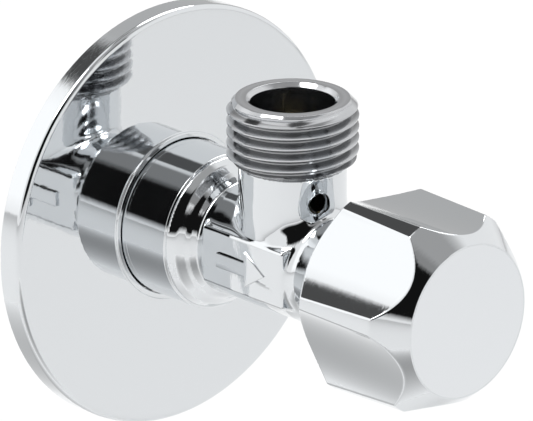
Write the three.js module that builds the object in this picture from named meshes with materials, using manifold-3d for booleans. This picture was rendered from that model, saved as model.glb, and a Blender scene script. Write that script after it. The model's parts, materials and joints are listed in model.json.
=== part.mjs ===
// Angle stop valve with a wall escutcheon, built as its separate pieces.
// Millimetres, +Z up. The origin is on the inlet axis in the wall plane: +Y runs into the wall,
// -Y towards the handle, and the outlet points up.
import * as THREE from "three";
import { mergeVertices } from "three/addons/utils/BufferGeometryUtils.js";
import Module from "manifold-3d";

const wasm = await Module();
wasm.setup();

// ---- driving dimensions ----
const touchGap = 0.3; // left between pieces that rest on each other
const slideGap = 0.3; // radial clearance of pieces that slide or turn in each other

const beyond = 1; // how far a cutting tool runs past the face it opens
const embed = 0.5; // how far one half of a piece reaches into the other
const edge = { fine: 0.3, small: 0.4, medium: 0.5, broad: 0.9 }; // chamfers

const pipeThread = { crestRadius: 10.48, depth: 1.1, pitch: 1.814, crestHalf: 0.14, flank: 0.32 }; // G 1/2

const wallToOutlet = 30.5; // wall plane to the outlet's axis
const outletToHandle = 39.3; // outlet's axis to the handle's front
const outletHeight = 26.8; // inlet axis to the outlet's end

const inlet = { length: 13, boreRadius: 5, chamfer: 1, neckLength: 2.6, neckRadius: 8.9 };
const sealRingWidth = 1.7;
const collar = { radius: 12.85, inWall: 0.9, frontToOutlet: 16 };
const tube = { portBoreRadius: 7.3, wall: 1.8, waistDepth: 0.6, waistLength: 5.5, waistStart: 1.6 };
const tubeRadius = tube.portBoreRadius + tube.wall;
const shoulder = {
  length: 2.8, flankDrop: 1.1, flankShare: 0.45, ringRise: 0.97, ringRound: 0.45, ringStep: 0.9,
};
const pad = {
  proud: 0.1, rootRadius: 4, halfHeight: 4.7, towardsWall: 11.1, towardsHandle: 7.1, draft: 0.25,
};
const arrow = { length: 11, headLength: 4.6, headHalf: 3, shaftHalf: 1.2, raise: 0.5, root: 1 };
const outlet = {
  stemRadius: 8.6, boreRadius: 6.73, threadLength: 10.6, mouthChamfer: 0.67, endChamfer: 1.3,
  endDrop: 0.25, footTaper: 0.6,
};
const seat = { behindOutlet: 6.5, lipWidth: 1, lipHeight: 0.8, counterInset: 0.3 };

const escutcheon = { radius: 34.8, depth: 4.1, wall: 1.2, edgeRound: 1, beadHeight: 0.5, beadWidth: 1.1 };
const beadRound = 0.2;
const grip = { ringRadius: 0.65, hubWall: 1.2, hubDepth: 3.2, frontLip: 0.2, rearLip: 0.5 };

const lift = 4; // travel of the closing piston
const washer = { radius: tube.portBoreRadius - 1.1, thickness: 2.2, holeRadius: 1.7 };
const retainer = { radius: 3.3, thickness: 0.6 };
const washerScrew = { shankRadius: 1.4, headRadius: 2.4, headHeight: 1.6, shankLength: 7.2, slotWidth: 0.7 };
const piston = {
  radius: tube.portBoreRadius - 2, roundLength: 9, guideLength: 6.3, guideHalf: 4.4, engagement: 2,
  bottomWall: 1, grooveToStep: 1.7, grooveDepth: 1,
};
const spindle = {
  threadRadius: 2.8, flangeRadius: 4.4, flangeThickness: 1.4, shaftRadius: 3,
  splineLength: 4, splineTeeth: 12, splineDepth: 0.45, notchWidth: 0.6, endChamfer: 0.4,
};
const thrust = { thickness: 0.8 };
const oRing = { tube: 0.45, grooveWidth: 1.4, grooveDepth: 0.8, firstGroove: 2.6, grooveSpacing: 3 };
const circlip = { thickness: 0.7, width: 1.7, openingAngle: 50, grooveDepth: 0.6 };
const housing = {
  skirtToSeat: 8.7, acrossFlats: 17, hexThickness: 4.3, neckRadius: 5, neckLength: 2.4,
  flangeRecess: 4.75,
};
const gasket = { thickness: 0.8, outerRadius: tubeRadius - 0.4 };

const knob = {
  landRadius: 16.6, faceRadius: 12.5, midFace: 13.8, faceHalfAngle: 25.2, taper: 0.5,
  length: 23.6, coneLength: 5, rearCone: 3.5, rearRadius: 13.3, rearRound: 0.3, frontRound: 0.1, phase: 6.5,
  cavityRadius: tubeRadius + 1.4, cavityDepth: 14.6, stackToPortEnd: 18.2,
};
const cap = { radius: 12, thickness: 1.2 };
const insertAcrossFlats = 11;
const knobScrew = { headRadius: 2.6, headHeight: 1.2, shankRadius: 1.3, shankLength: 5, slotWidth: 0.8 };

const segments = { tool: 72, large: 48, medium: 32, small: 16, torusSides: 8 };

// ---- finishes ----
const finish = (color, metalness, roughness) =>
  new THREE.MeshStandardMaterial({ color, metalness, roughness });
const chrome = finish(0xdfe2e4, 1, 0.08);
const brass = finish(0xb59a5b, 0.9, 0.35);
const steel = finish(0xa9adb0, 0.9, 0.35);
const rubber = finish(0x1c1c1e, 0, 0.75);
const fibre = finish(0xb7402c, 0, 0.7);
const plastic = finish(0xe8e4da, 0, 0.5);

// ---- geometry helpers ----
const radians = THREE.MathUtils.degToRad;

function solidOf(geometry) {
  const bare = geometry.index ? geometry.toNonIndexed() : geometry.clone();
  bare.deleteAttribute("normal");
  bare.deleteAttribute("uv");
  const merged = mergeVertices(bare, 1e-4);
  const corners = [];
  const index = merged.index.array;
  for (let i = 0; i < index.length; i += 3) {
    const [a, b, c] = index.subarray(i, i + 3);
    if (a !== b && b !== c && c !== a) corners.push(a, b, c);
  }
  const triVerts = new Uint32Array(corners);
  const vertProperties = merged.attributes.position.array;
  return new wasm.Manifold(new wasm.Mesh({ numProp: 3, vertProperties, triVerts }));
}

function meshOf(name, solid, material) {
  const made = solid.getMesh();
  const geometry = new THREE.BufferGeometry();
  geometry.setAttribute("position", new THREE.BufferAttribute(made.vertProperties, 3));
  geometry.setIndex(new THREE.BufferAttribute(made.triVerts, 1));
  geometry.computeVertexNormals();
  const mesh = new THREE.Mesh(geometry, material);
  mesh.name = name;
  return mesh;
}

const joined = (...solids) => solids.reduce((whole, next) => whole.add(next));
const cutBy = (solid, ...tools) => tools.reduce((rest, tool) => rest.subtract(tool), solid);

// Revolves a closed profile of [radius, y] points about Y.
function turned(profile, around = segments.medium) {
  const points = profile.map(([radius, y]) => new THREE.Vector2(radius, y));
  const outline = THREE.ShapeUtils.area(points) > 0 ? points : points.reverse();
  outline.push(outline[0].clone());
  return solidOf(new THREE.LatheGeometry(outline, around));
}

const rod = (radius, from, to, around) =>
  turned([[0, from], [radius, from], [radius, to], [0, to]], around);

const ring = (inner, outer, from, to, around) =>
  turned([[inner, from], [outer, from], [outer, to], [inner, to]], around);

function torus(radius, thickness, y, around = segments.medium) {
  const sides = segments.torusSides;
  const profile = [];
  for (let i = 0; i < sides; i++) {
    const angle = (2 * Math.PI * i) / sides;
    profile.push([radius + thickness * Math.cos(angle), y + thickness * Math.sin(angle)]);
  }
  return turned(profile, around);
}

// A six-sided bar along Y.
function hexBar(acrossFlats, from, to) {
  const corner = acrossFlats / 2 / Math.cos(Math.PI / 6);
  const bar = new THREE.CylinderGeometry(corner, corner, Math.abs(to - from), 6);
  return solidOf(bar.translate(0, (from + to) / 2, 0));
}

function block(x, y, z, sizeX, sizeY, sizeZ) {
  return solidOf(new THREE.BoxGeometry(sizeX, sizeY, sizeZ).translate(x, y, z));
}

// A round bar along Y with two flats, each the half width from the axis.
function flattened(radius, halfWidth, from, to) {
  const length = Math.abs(to - from);
  const flats = block(0, (from + to) / 2, 0, 2 * halfWidth, length, 2 * radius);
  return rod(radius, from, to, segments.medium).intersect(flats);
}

const upright = (solid, y) => solid.rotate([90, 0, 0]).translate([0, y, 0]);

// The stepped outline of a pipe thread from one y to another, crests clipped flat.
function threadOutline(from, to, thread) {
  const direction = Math.sign(to - from);
  const crestHalf = thread.pitch * thread.crestHalf;
  const flank = thread.pitch * thread.flank;
  const root = thread.crestRadius - thread.depth;
  const points = [];
  const turns = Math.floor((Math.abs(to - from) + 1e-6) / thread.pitch);
  for (let i = 0; i < turns; i++) {
    const middle = (i + 0.5) * thread.pitch;
    for (const [radius, offset] of [
      [root, -crestHalf - flank], [thread.crestRadius, -crestHalf],
      [thread.crestRadius, crestHalf], [root, crestHalf + flank],
    ]) {
      points.push([radius, from + direction * (middle + offset)]);
    }
  }
  return points;
}

// ---- places along the Y axis, front is negative ----
const outletY = -wallToOutlet;
const collarFront = outletY + collar.frontToOutlet;
const ringY = collarFront - shoulder.length;
const knobFront = outletY - outletToHandle;
const knobBack = knobFront + knob.length;
const portEndY = knobFront + knob.stackToPortEnd;
const seatY = outletY + seat.behindOutlet;
const washerBack = seatY - touchGap;
const washerFront = washerBack - washer.thickness;
const pistonBack = washerFront - touchGap;
const pistonStep = pistonBack - piston.roundLength;
const pistonFront = pistonStep - piston.guideLength;
const retainerFront = washerBack + touchGap;
const retainerBack = retainerFront + retainer.thickness;
const washerScrewHeadFront = retainerBack + touchGap;
const screwBoreEnd = washerScrewHeadFront - washerScrew.shankLength - touchGap;
const threadBoreEnd = screwBoreEnd - piston.bottomWall;
const guideStart = pistonFront + piston.engagement;
const chamberEnd = pistonFront - lift - touchGap;
const flangeBack = chamberEnd - touchGap;
const flangeFront = flangeBack - spindle.flangeThickness;
const thrustBack = flangeFront - touchGap;
const thrustFront = thrustBack - thrust.thickness;
const innerShoulder = thrustFront - touchGap;
const gasketBack = portEndY - touchGap;
const gasketFront = gasketBack - gasket.thickness;
const hexBack = gasketFront - touchGap;
const hexFront = hexBack - housing.hexThickness;
const neckFront = hexFront - housing.neckLength;
const circlipBack = neckFront - touchGap;
const circlipFront = circlipBack - circlip.thickness;
const splineBack = circlipFront - touchGap;
const splineFront = splineBack - spindle.splineLength;
const insertBack = splineBack - touchGap;
const insertFront = splineFront - touchGap;
const capBack = knobFront + cap.thickness;
const screwHeadFront = capBack + 2 * touchGap;
const screwHeadBack = screwHeadFront + knobScrew.headHeight;

// ---- valve body ----
function valveBody() {
  const crest = pipeThread.crestRadius;
  const rootRadius = crest - pipeThread.depth;
  const threadStart = inlet.neckLength;
  const inletThread = threadOutline(threadStart, inlet.length - inlet.chamfer, pipeThread);
  const padWall = outletY + pad.towardsWall;
  const padFront = outletY - pad.towardsHandle;
  const padFlat = tubeRadius + pad.proud;
  const ringRadius = tubeRadius + shoulder.ringRise;
  const shell = turned([
    [0, inlet.length],
    [rootRadius - inlet.chamfer, inlet.length],
    [rootRadius, inlet.length - inlet.chamfer],
    ...inletThread.reverse(),
    [inlet.neckRadius, threadStart],
    [inlet.neckRadius, -collar.inWall],
    [collar.radius - edge.small, -collar.inWall],
    [collar.radius, -collar.inWall - edge.small],
    [collar.radius, collarFront + edge.fine],
    [collar.radius - edge.fine, collarFront],
    [collar.radius - shoulder.flankDrop, collarFront - shoulder.length * shoulder.flankShare],
    [ringRadius + shoulder.ringRound, ringY + shoulder.ringRound],
    [ringRadius, ringY],
    [tubeRadius, ringY - shoulder.ringStep],
    [tubeRadius, padFront],
    [tubeRadius - tube.waistDepth, padFront - tube.waistStart],
    [tubeRadius, padFront - tube.waistLength],
    [tubeRadius, portEndY + edge.small],
    [tubeRadius - edge.small, portEndY],
    [0, portEndY],
  ], segments.medium);

  const threadFoot = outletHeight - outlet.threadLength;
  const outletThread = threadOutline(threadFoot, outletHeight - outlet.endChamfer, pipeThread);
  const stem = upright(turned([
    [0, 0],
    [outlet.stemRadius, 0],
    [outlet.stemRadius, threadFoot - outlet.footTaper],
    [rootRadius, threadFoot],
    ...outletThread,
    [rootRadius, outletHeight - outlet.endChamfer],
    [rootRadius - outlet.endDrop, outletHeight],
    [0, outletHeight],
  ], segments.medium), outletY);

  const body = joined(shell, stem, drafted(-1), drafted(1), flowArrow(-1), flowArrow(1));

  const outletBore = upright(turned([
    [0, 0],
    [outlet.boreRadius, 0],
    [outlet.boreRadius, outletHeight - outlet.mouthChamfer],
    [outlet.boreRadius + outlet.mouthChamfer, outletHeight],
    [outlet.boreRadius + outlet.mouthChamfer, outletHeight + beyond],
    [0, outletHeight + beyond],
  ], segments.medium), outletY);
  const waterWay = turned([
    [0, inlet.length + beyond],
    [inlet.boreRadius, inlet.length + beyond],
    [inlet.boreRadius, seatY],
    [inlet.boreRadius + seat.lipWidth, seatY],
    [inlet.boreRadius + seat.lipWidth, seatY + seat.lipHeight],
    [tube.portBoreRadius - seat.counterInset, seatY + seat.lipHeight],
    [tube.portBoreRadius, seatY - touchGap],
    [tube.portBoreRadius, portEndY - beyond],
    [0, portEndY - beyond],
  ], segments.medium);
  return cutBy(body, outletBore, waterWay);

  // A flat forged pad on one side, with drafted sides.
  function drafted(side) {
    const length = padWall - padFront;
    const thickness = padFlat - pad.rootRadius;
    const geometry = new THREE.BoxGeometry(thickness, length, 2 * pad.halfHeight);
    const corners = geometry.attributes.position;
    for (let i = 0; i < corners.count; i++) {
      if (corners.getX(i) > 0) continue;
      const spread = pad.draft * thickness;
      corners.setY(i, corners.getY(i) + Math.sign(corners.getY(i)) * spread);
      corners.setZ(i, corners.getZ(i) + Math.sign(corners.getZ(i)) * spread);
    }
    geometry.translate(pad.rootRadius + thickness / 2, 0, 0);
    if (side < 0) geometry.rotateZ(Math.PI);
    return solidOf(geometry.translate(0, (padWall + padFront) / 2, 0));
  }

  // A plain raised arrow on a pad that shows the way the water goes.
  function flowArrow(side) {
    const half = arrow.length / 2;
    const neck = half - arrow.headLength;
    const outline = new THREE.Shape([
      [-half, -arrow.shaftHalf], [neck, -arrow.shaftHalf], [neck, -arrow.headHalf], [half, 0],
      [neck, arrow.headHalf], [neck, arrow.shaftHalf], [-half, arrow.shaftHalf],
    ].map(([x, y]) => new THREE.Vector2(x, y)));
    const depth = arrow.root + arrow.raise;
    const geometry = new THREE.ExtrudeGeometry(outline, { depth, bevelEnabled: false });
    geometry.rotateZ(-Math.PI / 2);
    geometry.rotateY((side * Math.PI) / 2);
    const root = side * (padFlat - arrow.root);
    return solidOf(geometry.translate(root, (padWall + padFront) / 2, 0));
  }
}

function inletSealRing() {
  const inner = inlet.neckRadius + touchGap;
  const from = touchGap - collar.inWall;
  return ring(inner, inner + sealRingWidth, from, inlet.neckLength - touchGap, segments.medium);
}

// ---- headpart ----
function headpartHousing() {
  const outer = tube.portBoreRadius - touchGap;
  const skirtBack = seatY - housing.skirtToSeat;
  const chamber = piston.radius + slideGap;
  const body = joined(
    turned([
      [0, skirtBack],
      [outer - edge.medium, skirtBack],
      [outer, skirtBack - edge.medium],
      [outer, hexBack - embed],
      [0, hexBack - embed],
    ], segments.medium),
    hexBar(housing.acrossFlats, hexBack, hexFront).intersect(
      turned([
        [0, hexBack],
        [housing.acrossFlats / 2 + edge.broad, hexBack],
        [housing.acrossFlats / 2 + edge.broad, hexFront + edge.broad],
        [housing.acrossFlats / 2 - edge.fine, hexFront],
        [0, hexFront],
      ], segments.medium),
    ),
    rod(housing.neckRadius, hexFront + embed, neckFront, segments.medium),
  );
  const roundChamber = rod(chamber, skirtBack + beyond, guideStart, segments.medium);
  const guide = flattened(chamber, piston.guideHalf + slideGap, guideStart + embed, chamberEnd);
  const flangeRoom = rod(housing.flangeRecess, chamberEnd + embed, innerShoulder, segments.medium);
  const boreRadius = spindle.shaftRadius + slideGap;
  const spindleBore = rod(boreRadius, innerShoulder + beyond, neckFront - beyond, segments.small);
  return cutBy(body, roundChamber, guide, flangeRoom, spindleBore);
}

function headpartGasket() {
  return ring(tube.portBoreRadius, gasket.outerRadius, gasketBack, gasketFront, segments.medium);
}

const firstGroove = innerShoulder - oRing.firstGroove;
const spindleGrooves = [firstGroove, firstGroove - oRing.grooveSpacing];

function spindleSolid() {
  const shaft = spindle.shaftRadius;
  const groove = shaft - oRing.grooveDepth;
  const nose = threadBoreEnd - lift - touchGap;
  const outline = [
    [0, nose],
    [spindle.threadRadius - edge.medium, nose],
    [spindle.threadRadius, nose - edge.medium],
    [spindle.threadRadius, flangeBack],
    [spindle.flangeRadius, flangeBack],
    [spindle.flangeRadius, flangeFront],
    [shaft, flangeFront],
  ];
  for (const y of spindleGrooves) {
    outline.push([shaft, y + oRing.grooveWidth / 2], [groove, y + oRing.grooveWidth / 2]);
    outline.push([groove, y - oRing.grooveWidth / 2], [shaft, y - oRing.grooveWidth / 2]);
  }
  const clipGroove = shaft - circlip.grooveDepth;
  outline.push([shaft, circlipBack + touchGap / 2], [clipGroove, circlipBack + touchGap / 2]);
  outline.push([clipGroove, circlipFront - touchGap / 2], [shaft, circlipFront - touchGap / 2]);
  outline.push([shaft, splineFront + spindle.endChamfer], [shaft - spindle.endChamfer, splineFront]);
  outline.push([0, splineFront]);
  const notches = [];
  const notchMiddle = splineFront + spindle.splineLength / 2 - embed;
  for (let i = 0; i < spindle.splineTeeth; i++) {
    const notch = block(
      shaft, notchMiddle, 0, 2 * spindle.splineDepth, spindle.splineLength, spindle.notchWidth,
    );
    notches.push(notch.rotate([0, (360 * i) / spindle.splineTeeth, 0]));
  }
  const tappingEnd = screwHeadBack + knobScrew.shankLength + touchGap;
  const tappingRadius = knobScrew.shankRadius + touchGap;
  const tapping = rod(tappingRadius, tappingEnd, splineFront - beyond, segments.small);
  return cutBy(turned(outline, segments.small), ...notches, tapping);
}

function spindleORing(y) {
  const groove = spindle.shaftRadius - oRing.grooveDepth;
  return torus((groove + spindle.shaftRadius + slideGap) / 2, oRing.tube, y, segments.small);
}

function spindleCirclip() {
  const inner = spindle.shaftRadius - circlip.grooveDepth + touchGap / 2;
  const whole = ring(inner, inner + circlip.width, circlipBack, circlipFront, segments.medium);
  const openingWidth = 2 * inner * Math.sin(radians(circlip.openingAngle));
  const reach = 2 * (inner + circlip.width);
  const middle = (circlipBack + circlipFront) / 2;
  const opening = block(0, middle, -reach / 2, openingWidth, 2 * circlip.thickness, reach);
  return whole.subtract(opening);
}

function thrustWasher() {
  const inner = spindle.shaftRadius + slideGap;
  return ring(inner, spindle.flangeRadius, thrustBack, thrustFront, segments.small);
}

// ---- closing unit ----
const pistonGrooveY = pistonStep + piston.grooveToStep;

function closingPiston() {
  const groove = piston.radius - piston.grooveDepth;
  const outside = turned([
    [0, pistonBack],
    [piston.radius, pistonBack],
    [piston.radius, pistonGrooveY + oRing.grooveWidth / 2],
    [groove, pistonGrooveY + oRing.grooveWidth / 2],
    [groove, pistonGrooveY - oRing.grooveWidth / 2],
    [piston.radius, pistonGrooveY - oRing.grooveWidth / 2],
    [piston.radius, pistonStep],
    [0, pistonStep],
  ], segments.medium);
  const guide = flattened(piston.radius, piston.guideHalf, pistonStep + embed, pistonFront);
  const screwBoreRadius = washerScrew.shankRadius + touchGap;
  const screwBore = rod(screwBoreRadius, pistonBack + beyond, screwBoreEnd, segments.small);
  const threadBoreRadius = spindle.threadRadius + slideGap;
  const threadBore = rod(threadBoreRadius, threadBoreEnd, pistonFront - beyond, segments.small);
  return cutBy(joined(outside, guide), screwBore, threadBore);
}

function pistonORing() {
  const groove = piston.radius - piston.grooveDepth;
  return torus((groove + piston.radius + slideGap) / 2, oRing.tube, pistonGrooveY);
}

function seatWasher() {
  return ring(washer.holeRadius, washer.radius, washerBack, washerFront, segments.medium);
}

function washerRetainer() {
  return ring(washer.holeRadius, retainer.radius, retainerBack, retainerFront, segments.small);
}

function washerScrewSolid() {
  const headBack = washerScrewHeadFront + washerScrew.headHeight;
  const shankEnd = washerScrewHeadFront - washerScrew.shankLength;
  const screw = joined(
    rod(washerScrew.headRadius, headBack, washerScrewHeadFront, segments.small),
    rod(washerScrew.shankRadius, washerScrewHeadFront + embed, shankEnd, segments.small),
  );
  const slotLength = 3 * washerScrew.headRadius;
  const slot = block(0, headBack, 0, slotLength, washerScrew.headHeight, washerScrew.slotWidth);
  return screw.subtract(slot);
}

// ---- handle ----
function handleSolid() {
  const coneBack = knobFront + knob.coneLength;
  const rear = knob.landRadius + knob.taper;
  const blank = turned([
    [0, knobBack],
    [knob.rearRadius - knob.rearRound, knobBack],
    [knob.rearRadius, knobBack - knob.rearRound],
    [rear, knobBack - knob.rearCone],
    [knob.landRadius, coneBack],
    [knob.faceRadius, knobFront + knob.frontRound],
    [knob.faceRadius - knob.frontRound, knobFront],
    [0, knobFront],
  ], segments.large);
  const halfAngle = radians(knob.faceHalfAngle);
  const halfChord = knob.landRadius * Math.sin(halfAngle);
  const hollow = knob.landRadius * Math.cos(halfAngle) - knob.midFace;
  const fluteRadius = (halfChord ** 2 + hollow ** 2) / (2 * hollow);
  const flutes = [];
  for (let i = 0; i < 6; i++) {
    const tool = new THREE.CylinderGeometry(fluteRadius, fluteRadius, 2 * knob.length, segments.tool);
    tool.translate(knob.midFace + fluteRadius, knobFront + knob.length / 2, 0);
    flutes.push(solidOf(tool).rotate([0, 60 * i - 90 + knob.phase, 0]));
  }
  const cavityEnd = knobBack - knob.cavityDepth;
  const cavity = turned([
    [0, knobBack + beyond],
    [knob.cavityRadius, knobBack + beyond],
    [knob.cavityRadius, cavityEnd],
    [0, cavityEnd],
  ], segments.medium);
  const insertRoom = hexBar(insertAcrossFlats + 2 * touchGap, cavityEnd + beyond, insertFront - touchGap);
  const screwHole = rod(knobScrew.shankRadius + touchGap, insertFront, knobFront, segments.small);
  const headRoom = rod(knobScrew.headRadius + touchGap, capBack, screwHeadBack + touchGap, segments.small);
  const capRoom = rod(cap.radius + touchGap, knobFront - beyond, capBack + touchGap, segments.large);
  return cutBy(blank, ...flutes, cavity, insertRoom, screwHole, headRoom, capRoom);
}

function handleInsert() {
  const bore = rod(spindle.shaftRadius + touchGap, insertBack + beyond, splineFront, segments.small);
  const holeRadius = knobScrew.shankRadius + touchGap;
  const screwHole = rod(holeRadius, splineFront + beyond, insertFront - beyond, segments.small);
  return cutBy(hexBar(insertAcrossFlats, insertBack, insertFront), bore, screwHole);
}

function handleScrew() {
  const slotLength = 3 * knobScrew.headRadius;
  const slot = block(0, screwHeadFront, 0, slotLength, knobScrew.headHeight, knobScrew.slotWidth);
  const shankEnd = screwHeadBack + knobScrew.shankLength;
  return joined(
    rod(knobScrew.headRadius, screwHeadBack, screwHeadFront, segments.small),
    rod(knobScrew.shankRadius, screwHeadBack - embed, shankEnd, segments.small),
  ).subtract(slot);
}

function handleCap() {
  return turned([
    [0, capBack],
    [cap.radius, capBack],
    [cap.radius, knobFront + edge.fine],
    [cap.radius - edge.fine, knobFront],
    [0, knobFront],
  ], segments.large);
}

// ---- escutcheon ----
function escutcheonSolid() {
  const front = -escutcheon.depth;
  const inside = front + escutcheon.wall;
  const hole = collar.radius + slideGap;
  const grooveRadius = hole + 2 * grip.ringRadius + touchGap;
  const hub = grooveRadius + grip.hubWall;
  const hubBack = front + grip.hubDepth;
  const round = escutcheon.edgeRound;
  const bead = front - escutcheon.beadHeight;
  const grooveFront = inside - grip.frontLip;
  const grooveBack = hubBack - grip.rearLip;
  return turned([
    [escutcheon.radius, 0],
    [escutcheon.radius, front + round],
    [escutcheon.radius - (1 - Math.SQRT1_2) * round, front + (1 - Math.SQRT1_2) * round],
    [escutcheon.radius - round, front],
    [hole + escutcheon.beadWidth, front],
    [hole + escutcheon.beadWidth - beadRound, bead + beadRound],
    [hole + escutcheon.beadWidth / 2, bead],
    [hole + beadRound, bead + beadRound],
    [hole, front],
    [hole, grooveFront],
    [grooveRadius, grooveFront],
    [grooveRadius, grooveBack],
    [hole, grooveBack],
    [hole, hubBack],
    [hub, hubBack],
    [hub, inside],
    [escutcheon.radius - escutcheon.wall, inside],
    [escutcheon.radius - escutcheon.wall, 0],
  ], segments.large);
}

function escutcheonGripRing() {
  const front = -escutcheon.depth + escutcheon.wall - grip.frontLip;
  const back = -escutcheon.depth + grip.hubDepth - grip.rearLip;
  const radius = collar.radius + slideGap + grip.ringRadius + touchGap / 2;
  return torus(radius, grip.ringRadius, (front + back) / 2, segments.large);
}

// ---- assembly ----
const group = new THREE.Group();
const fixed = new THREE.Group();
const closing = new THREE.Group();
const turning = new THREE.Group();
const rosette = new THREE.Group();
group.add(fixed, closing, turning, rosette);

fixed.add(
  meshOf("valve_body", valveBody(), chrome),
  meshOf("inlet_seal_ring", inletSealRing(), plastic),
  meshOf("headpart_housing", headpartHousing(), brass),
  meshOf("headpart_gasket", headpartGasket(), fibre),
  meshOf("thrust_washer", thrustWasher(), plastic),
);
closing.add(
  meshOf("closing_piston", closingPiston(), brass),
  meshOf("piston_o_ring", pistonORing(), rubber),
  meshOf("seat_washer", seatWasher(), rubber),
  meshOf("washer_retainer", washerRetainer(), brass),
  meshOf("washer_screw", washerScrewSolid(), brass),
);
turning.add(
  meshOf("spindle", spindleSolid(), brass),
  meshOf("spindle_o_ring_rear", spindleORing(spindleGrooves[0]), rubber),
  meshOf("spindle_o_ring_front", spindleORing(spindleGrooves[1]), rubber),
  meshOf("spindle_circlip", spindleCirclip(), steel),
  meshOf("handle", handleSolid(), chrome),
  meshOf("handle_insert", handleInsert(), plastic),
  meshOf("handle_screw", handleScrew(), steel),
  meshOf("handle_cap", handleCap(), chrome),
);
rosette.add(
  meshOf("escutcheon", escutcheonSolid(), chrome),
  meshOf("escutcheon_grip_ring", escutcheonGripRing(), rubber),
);

export default group;
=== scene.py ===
import json
import math

import bmesh
import bpy
import numpy as np
from mathutils import Matrix, Vector

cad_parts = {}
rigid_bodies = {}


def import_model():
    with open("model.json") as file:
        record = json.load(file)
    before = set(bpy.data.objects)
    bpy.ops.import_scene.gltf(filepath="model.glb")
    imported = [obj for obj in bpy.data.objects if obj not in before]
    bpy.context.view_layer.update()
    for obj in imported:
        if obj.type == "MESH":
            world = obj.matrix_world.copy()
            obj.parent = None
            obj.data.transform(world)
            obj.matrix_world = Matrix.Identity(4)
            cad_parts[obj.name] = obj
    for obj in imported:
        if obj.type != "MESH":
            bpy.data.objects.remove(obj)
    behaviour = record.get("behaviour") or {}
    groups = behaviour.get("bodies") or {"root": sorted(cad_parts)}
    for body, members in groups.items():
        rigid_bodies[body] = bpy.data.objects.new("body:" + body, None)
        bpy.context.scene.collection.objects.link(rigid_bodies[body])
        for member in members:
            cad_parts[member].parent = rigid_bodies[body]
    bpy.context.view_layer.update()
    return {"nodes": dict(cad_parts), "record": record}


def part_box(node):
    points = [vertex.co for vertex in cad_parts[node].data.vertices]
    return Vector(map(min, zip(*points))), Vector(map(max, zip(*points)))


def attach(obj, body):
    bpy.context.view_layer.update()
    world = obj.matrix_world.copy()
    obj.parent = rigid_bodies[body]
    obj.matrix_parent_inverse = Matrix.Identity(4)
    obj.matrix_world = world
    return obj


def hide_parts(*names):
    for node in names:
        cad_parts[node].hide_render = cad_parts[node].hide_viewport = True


for startObject in list(bpy.data.objects):
    bpy.data.objects.remove(startObject)
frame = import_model()
nodes = frame["nodes"]
mm = 0.001
print("frame loaded:", len(nodes), "nodes")


# places read from the frame, in millimetres
def boxOf(node):
    low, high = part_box(node)
    return [v / mm for v in low], [v / mm for v in high]


bodyLow, bodyHigh = boxOf("valve_body")
knobLow, knobHigh = boxOf("handle")
capLow, capHigh = boxOf("handle_cap")
discLow, discHigh = boxOf("escutcheon")
mountAt = {m["name"]: [v / mm for v in m["pos_m"]] for m in frame["record"]["mounts"]}
outletY = mountAt["outlet_face"][1]
outletTop = bodyHigh[2]
collarRadius = bodyHigh[0]
inletEnd = bodyHigh[1]
portEnd = bodyLow[1]


# puts a mesh, light or camera in the scene
def addObject(name, data, material=None):
    piece = bpy.data.objects.new(name, data)
    bpy.context.scene.collection.objects.link(piece)
    if material:
        data.materials.append(material)
    return piece


# helpers that make meshes, with points in millimetres
def makeObject(name, points, faces, normals=None, material=None):
    mesh = bpy.data.meshes.new(name)
    mesh.from_pydata((np.asarray(points) * mm).tolist(), [], [list(f) for f in faces])
    mesh.validate()
    mesh.shade_smooth()
    if normals is not None:
        mesh.normals_split_custom_set_from_vertices(np.asarray(normals).tolist())
    return addObject(name, mesh, material)


def pieceFromShape(shape, name, material, sharpAngle):
    mesh = bpy.data.meshes.new(name)
    shape.to_mesh(mesh)
    shape.free()
    mesh.validate()
    mesh.shade_smooth()
    mesh.set_sharp_from_angle(angle=math.radians(sharpAngle))
    return addObject(name, mesh, material)


# corners: (radius, height, fillet). Gives the outline's points, fillets included, and their outward normals
def roundedOutline(corners, steps=5, closed=True):
    count = len(corners)
    points, normals = [], []
    for i, (r, y, fillet) in enumerate(corners):
        here = np.array([r, y], float)
        onEnd = not closed and i in (0, count - 1)
        before = np.array(corners[i - 1][:2], float) if not (onEnd and i == 0) else None
        after = np.array(corners[(i + 1) % count][:2], float) if not (onEnd and i == count - 1) else None
        if before is None or after is None:
            along = (after - here) if before is None else (here - before)
            along /= np.linalg.norm(along)
            points.append(here)
            normals.append(np.array([along[1], -along[0]]))
            continue
        into, out = here - before, after - here
        lengthIn, lengthOut = np.linalg.norm(into), np.linalg.norm(out)
        into, out = into / lengthIn, out / lengthOut
        normalIn, normalOut = np.array([into[1], -into[0]]), np.array([out[1], -out[0]])
        turn = math.acos(max(-1, min(1, float(into @ out))))
        if turn < 1e-4:
            points.append(here)
            normals.append(normalIn)
            continue
        setback = min(max(fillet, 0.02) * math.tan(turn / 2), 0.49 * lengthIn, 0.49 * lengthOut)
        start, end = here - into * setback, here + out * setback
        side = math.copysign(1, into[0] * out[1] - into[1] * out[0])
        radius = setback / math.tan(turn / 2)
        centre = start - normalIn * radius * side
        total = max(1, int(round(steps * min(1, fillet / 0.1 + 0.4))))
        for k in range(total + 1):
            t = k / total
            angle = t * turn * side
            c, s = math.cos(angle), math.sin(angle)
            normal = np.array([normalIn[0] * c - normalIn[1] * s, normalIn[0] * s + normalIn[1] * c])
            points.append(centre + normal * radius * side)
            normals.append(normal)
        points[-1] = end
        normals[-1] = normalOut
    return np.array(points), np.array(normals)


def signedArea(outline):
    r, y = outline.T
    return 0.5 * np.sum(r * np.roll(y, -1) - np.roll(r, -1) * y)


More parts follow.
